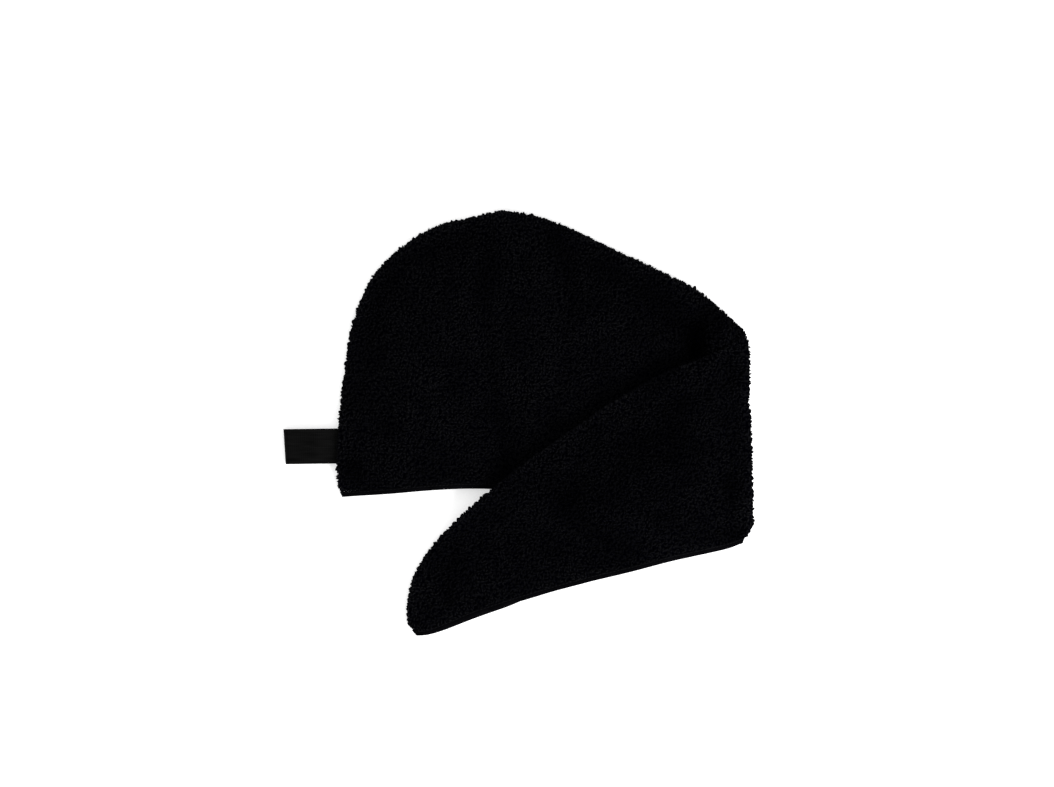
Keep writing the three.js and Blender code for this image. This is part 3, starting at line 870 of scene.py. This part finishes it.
# Black cotton, turned and pressed flat by the presser foot: smoother than the pile, a dull matt black
pressed_hem, tree, shader = new_material("Black cotton pressed hem", Roughness=0.9, Specular_IOR_Level=0.01)
chart = add_node(tree, "TexCoord")
wear = add_node(tree, "TexNoise", {"Vector": chart.outputs["UV"], "Scale": 1 / WEAR_SIZE, "Detail": 4.0})
tones = add_node(tree, "ValToRGB", {"Fac": wear.outputs["Fac"]})
tones.color_ramp.elements[0].position = 0.3
tones.color_ramp.elements[0].color = linear("#020203")
tones.color_ramp.elements[1].position = 0.7
tones.color_ramp.elements[1].color = linear("#060608")
tree.links.new(tones.outputs["Color"], shader.inputs["Base Color"])
# Ridges run along the hem, and a fine grain of threads breaks them
ridges = add_node(
    tree, "TexWave",
    {"Vector": chart.outputs["UV"], "Scale": WAVE_PERIOD / RIDGE_PITCH, "Distortion": 1.5},
    bands_direction="Y", wave_profile="SIN",
)
grain = add_node(tree, "TexNoise", {"Vector": chart.outputs["UV"], "Scale": 1 / HEM_GRAIN, "Detail": 2.0})
relief = add_node(tree, "Math", {0: ridges.outputs["Fac"], 1: grain.outputs["Fac"]})
hem_relief = add_node(
    tree, "Bump", {"Height": relief.outputs["Value"], "Strength": 0.5, "Distance": 0.0003}
)
tree.links.new(hem_relief.outputs["Normal"], shader.inputs["Normal"])

# Black spun polyester sewing thread: a little glossier than the cotton that it lies in
thread_black, tree, shader = new_material("Black polyester thread", Roughness=0.5, Specular_IOR_Level=0.04)
place = add_node(tree, "TexCoord")
lay_of_thread = add_node(
    tree, "TexNoise", {"Vector": place.outputs["Object"], "Scale": 1 / THREAD_LAY}
)
tones = add_node(tree, "ValToRGB", {"Fac": lay_of_thread.outputs["Fac"]})
tones.color_ramp.elements[0].color = linear("#080809")
tones.color_ramp.elements[1].color = linear("#0c0c0f")
tree.links.new(tones.outputs["Color"], shader.inputs["Base Color"])

hem_walk = summed(steps_of(hem_line))  # length along the hem at edge_shares
turn_from, turn_out = np.array(HEM_TURN).T
turn_walk = summed(steps_of(HEM_TURN))

# One stitch: a short thread, round at both ends where it goes down into the cloth
bpy.ops.object.select_all(action="DESELECT")
bpy.ops.mesh.primitive_uv_sphere_add(segments=6, ring_count=5, radius=0.5 * MM)
stitch = bpy.context.object
bpy.ops.object.mode_set(mode="EDIT")
bpy.ops.mesh.select_all(action="SELECT")
bpy.ops.transform.rotate(value=math.pi / 2, orient_axis="Y", center_override=(0, 0, 0))
bpy.ops.transform.resize(value=(STITCH_LENGTH, STITCH_WIDTH, STITCH_HEIGHT))
bpy.ops.object.mode_set(mode="OBJECT")

for name, is_over in (("hem_back", False), ("hem_front", True)):
    hem_stations = stations(HEM_SPACING, HEM_FOLD_SPACING)
    strip, along, across = new_grid(name, len(hem_stations) - 1, len(HEM_TURN) - 1)
    u = station_at(along, hem_stations)
    knot = np.rint(across * (len(HEM_TURN) - 1)).astype(int)
    from_edge, out = turn_from[knot], turn_out[knot]
    walk = np.interp(u, edge_shares, hem_walk)
    near_stitches = np.exp(-((from_edge - STITCH_IN) / PUCKER_WIDTH) ** 2) * (out > HEM_FACE)
    out = out + PUCKER * near_stitches * np.cos(2 * math.pi * walk / STITCH_PITCH)
    points = on_rule(u, from_edge + hem_start(u, is_over))
    chart_points = np.stack([walk, turn_walk[knot]], 1)
    set_cloth(strip, lay(points, is_over, out), chart_points, HEM_CLOTH)
    strip.data.materials.append(pressed_hem)
    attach(strip, "root")
    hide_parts("hem_over" if is_over else "hem_under")

    walks = np.arange(STITCH_PITCH, hem_walk[-1] - STITCH_PITCH, STITCH_PITCH) + STITCH_PITCH / 2
    u = np.interp(walks, hem_walk, edge_shares)
    points = on_rule(u, STITCH_IN + hem_start(u, is_over))
    foot, up = standing(points, is_over, STITCH_OUT)
    ahead = on_rule(np.interp(walks + 1, hem_walk, edge_shares), STITCH_IN + hem_start(u, is_over))
    run = unit(lay(ahead, is_over, STITCH_OUT) - foot)
    slant = unit(run + np.cross(up, run) * STITCH_SLANT)
    row = copies(name.replace("hem", "stitches"), stitch, foot, slant, unit(np.cross(up, slant)), up)
    row.data.materials.append(thread_black)
    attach(row, "root")
bpy.data.objects.remove(stitch)


# Elastic loop
# A band of black ribbed elastic, 30 mm wide, folded double with both ends sewn into the nape seam.
# The tail is tucked through it in use. It is woven flat, with fine ribs along it and firm selvedges.
BAND_REACH = 44.3  # how far the loop stands out of the seam
BAND_HOLLOW = 5.6  # inside height of its round end
BAND_FLAT = 20.0  # length over which it keeps that height, from the round end
BAND_SKEW = 1.9  # the round end leans by this across the band
BAND_DROOP = 0.6  # and lies this much nearer the hem than its seat
BAND_STEPS = (110, 96)  # of its grid, along and across
RUN_POINTS = 40  # on the path of each layer
END_POINTS = 16  # and round the end
RIB_PITCH = 1.25
RIB_HEIGHT = 0.09
SELVEDGE = 1.0  # smooth margin without ribs
STREAK_SIZE = (0.02, 0.0012)  # metres, along and across the band
CROSS_PITCH = 0.0018  # metres; cross threads are 0.45 mm apart, and drawn coarser so that they show

round_radius = (BAND_HOLLOW + BAND_THICKNESS) / 2
turn_x = seam_at_band[0] - BAND_REACH + round_radius + BAND_THICKNESS / 2


def band_run(x, is_upper):
    """Middle of one layer of the band, from its seat in the seam to the round end."""
    offset = (BAND_THICKNESS + SEWN_GAP) / 2
    seat = PANEL_THICKNESS + band_stack / 2 + (offset if is_upper else -offset)
    outer = BAND_THICKNESS / 2 + (2 * round_radius if is_upper else 0)
    leaves = seam_at_band[0] - SEWN_GAP
    opened = smooth((leaves - x) / (leaves - turn_x - BAND_FLAT))
    return np.stack([x, mix(seat, outer, opened)], 1)


outwards = np.linspace(seam_at_band[0] + BAND_SEAT, turn_x, RUN_POINTS)
angle = np.linspace(math.pi / 2, 3 * math.pi / 2, END_POINTS)[1:-1]
round_end = np.stack(
    [turn_x + round_radius * np.cos(angle), BAND_THICKNESS / 2 + round_radius * (1 + np.sin(angle))], 1
)
band_path = np.vstack([band_run(outwards, True), round_end, band_run(outwards[::-1], False)])
band_walk = summed(steps_of(band_path))

band, along, across = new_grid("elastic_band", *BAND_STEPS)
walk = along * band_walk[-1]
x = np.interp(walk, band_walk, band_path[:, 0])
z = np.interp(walk, band_walk, band_path[:, 1])
width_way = 0.5 - across
opened = np.clip((seam_at_band[0] - x) / BAND_REACH, 0, 1)
up_the_seam = BAND_UP - BAND_WIDTH * width_way - BAND_DROOP * opened
placed = np.stack([x + BAND_SKEW * width_way * opened, up_the_seam, z], 1)
chart_points = np.stack([walk, across * BAND_WIDTH], 1)
set_cloth(band, (placed + to_row) * MM, chart_points, BAND_THICKNESS - 2 * RIB_HEIGHT)

# Ribs stand up from both faces, all but the smooth selvedges
spots = read_points(band.data)
normals = read_points(band.data, "normal")
from_middle = abs(spots[:, 1] / MM - to_row[1] - BAND_UP)
rib = np.cos(2 * math.pi * from_middle / RIB_PITCH) * (from_middle < BAND_WIDTH / 2 - SELVEDGE)
band.data.vertices.foreach_set("co", (spots + normals * (RIB_HEIGHT * MM * rib)[:, None]).ravel())

# Black woven polyester elastic: smoother and lighter than cotton, with a soft gloss along its ribs
band_weave, tree, shader = new_material("Black polyester elastic", Roughness=0.6, Specular_IOR_Level=0.026)
chart = add_node(tree, "TexCoord")
stretched = add_node(
    tree, "Mapping", {"Vector": chart.outputs["UV"], "Scale": (1 / STREAK_SIZE[0], 1 / STREAK_SIZE[1], 1)}
)
streaks = add_node(tree, "TexNoise", {"Vector": stretched.outputs["Vector"], "Scale": 1.0, "Detail": 3.0})
tones = add_node(tree, "ValToRGB", {"Fac": streaks.outputs["Fac"]})
tones.color_ramp.elements[0].position = 0.3
tones.color_ramp.elements[0].color = linear("#020202")
tones.color_ramp.elements[1].position = 0.7
tones.color_ramp.elements[1].color = linear("#0c0c0c")
tree.links.new(tones.outputs["Color"], shader.inputs["Base Color"])
cross_threads = add_node(
    tree, "TexWave",
    {"Vector": chart.outputs["UV"], "Scale": WAVE_PERIOD / CROSS_PITCH, "Distortion": 0.6},
    bands_direction="X", wave_profile="SIN",
)
rib_relief = add_node(
    tree, "Bump", {"Height": cross_threads.outputs["Fac"], "Strength": 0.4, "Distance": 0.0002}
)
tree.links.new(rib_relief.outputs["Normal"], shader.inputs["Normal"])
band.data.materials.append(band_weave)
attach(band, "root")
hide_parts("elastic_loop")


# Table, light and camera
# A plain white table, a large soft light from the front right and an even white room. The camera
# looks straight down, as the photograph does.
bpy.ops.object.select_all(action="DESELECT")
bpy.ops.mesh.primitive_plane_add(size=40)
table = bpy.context.object
table.name = "table"
# White acrylic sheet lit faintly from below, as under a packshot, so that it throws hardly a shadow
table_white, tree, shader = new_material(
    "White lit acrylic table", Roughness=0.6, Base_Color=linear("#f4f4f4"),
    Emission_Color=linear("#ffffff"), Emission_Strength=0.5,
)
table.data.materials.append(table_white)

room = bpy.data.worlds.new("white room")
room.use_nodes = True
room.node_tree.nodes["Background"].inputs["Color"].default_value = linear("#ffffff")
room.node_tree.nodes["Background"].inputs["Strength"].default_value = 0.75
bpy.context.scene.world = room
bpy.context.scene.view_settings.view_transform = "Standard"

bpy.ops.object.light_add(type="AREA", location=(1.5, -1.7, 1.2))
key = bpy.context.object
key.name = "soft light"
key.data.shape = "DISK"
key.data.size = 1.6  # metres across
key.data.energy = 105  # watts
key.rotation_euler = (-key.location).to_track_quat("-Z", "Y").to_euler()

SHOT_WIDTH = 0.9012  # metres of table across the photograph
SHOT_CENTRE = (0.00727, 0.025)
CAMERA_HEIGHT = 6.0
bpy.ops.object.camera_add(location=(*SHOT_CENTRE, CAMERA_HEIGHT), rotation=(0, 0, 0))
camera = bpy.context.object
camera.data.sensor_width = 36
camera.data.lens = camera.data.sensor_width * CAMERA_HEIGHT / SHOT_WIDTH
camera.data.clip_end = 100
bpy.context.scene.camera = camera
